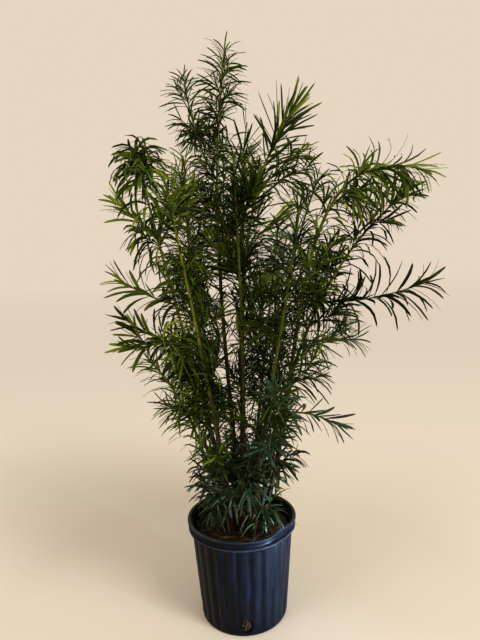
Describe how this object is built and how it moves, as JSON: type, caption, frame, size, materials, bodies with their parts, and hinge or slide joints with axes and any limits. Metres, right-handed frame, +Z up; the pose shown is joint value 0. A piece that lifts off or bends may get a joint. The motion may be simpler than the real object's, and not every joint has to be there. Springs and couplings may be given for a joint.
{
  "type": "potted podocarpus",
  "caption": "Upright, many-stemmed evergreen shrub with long narrow leaves on bare-footed canes, growing in a ribbed round nursery pot that stands on its flat base.",
  "frame": {"origin": "centre of the pot's flat underside", "axes": "+Z up along the pot's axis; -Y towards the plant's front; +X to the right as seen from the front"},
  "size_m": [0.8995, 0.6816, 1.5703],
  "materials": {
    "pot": "black blow-moulded plastic, satin, with soft vertical flutes and dusty scuffs",
    "soil": "dark moist bark and peat mix with dead leaves and straw on top",
    "bark": "thin brown bark that peels in strips, green towards the tips",
    "foliage": "leathery dark green leaves with a satin gloss, paler beneath, yellow-green when young"
  },
  "bodies": {
    "root": {"pot": "pot", "soil": "soil", "leader_stem": "bark", "crest_stem": "bark", "far_left_stem": "bark", "low_left_stem": "bark", "back_left_stem": "bark", "mid_left_stem": "bark", "far_right_stem": "bark", "right_stem": "bark", "inner_right_stem": "bark", "back_stem": "bark", "back_right_stem": "bark", "front_left_stem": "bark", "front_stem": "bark", "front_right_stem": "bark", "leader_foliage": "foliage", "crest_foliage": "foliage", "far_left_foliage": "foliage", "low_left_foliage": "foliage", "back_left_foliage": "foliage", "mid_left_foliage": "foliage", "far_right_foliage": "foliage", "right_foliage": "foliage", "inner_right_foliage": "foliage", "back_foliage": "foliage", "back_right_foliage": "foliage", "front_left_foliage": "foliage", "front_foliage": "foliage", "front_right_foliage": "foliage", "leader_fork": "foliage", "leader_low": "foliage", "crest_side": "foliage", "crest_left": "foliage", "left_fork": "foliage", "left_spray_1": "foliage", "left_spray_2": "foliage", "left_spray_3": "foliage", "left_spray_4": "foliage", "right_arm": "foliage", "right_spray_1": "foliage", "right_spray_2": "foliage", "right_spray_3": "foliage", "front_spray_1": "foliage", "front_spray_2": "foliage", "front_spray_3": "foliage", "back_spray_1": "foliage", "back_spray_2": "foliage", "back_spray_3": "foliage", "low_shoot_1": "foliage", "low_shoot_2": "foliage", "low_shoot_3": "foliage", "low_shoot_4": "foliage", "low_shoot_5": "foliage", "low_shoot_6": "foliage", "low_shoot_7": "foliage", "low_shoot_8": "foliage", "low_shoot_9": "foliage", "low_shoot_10": "foliage"}
  },
  "joints": []
}
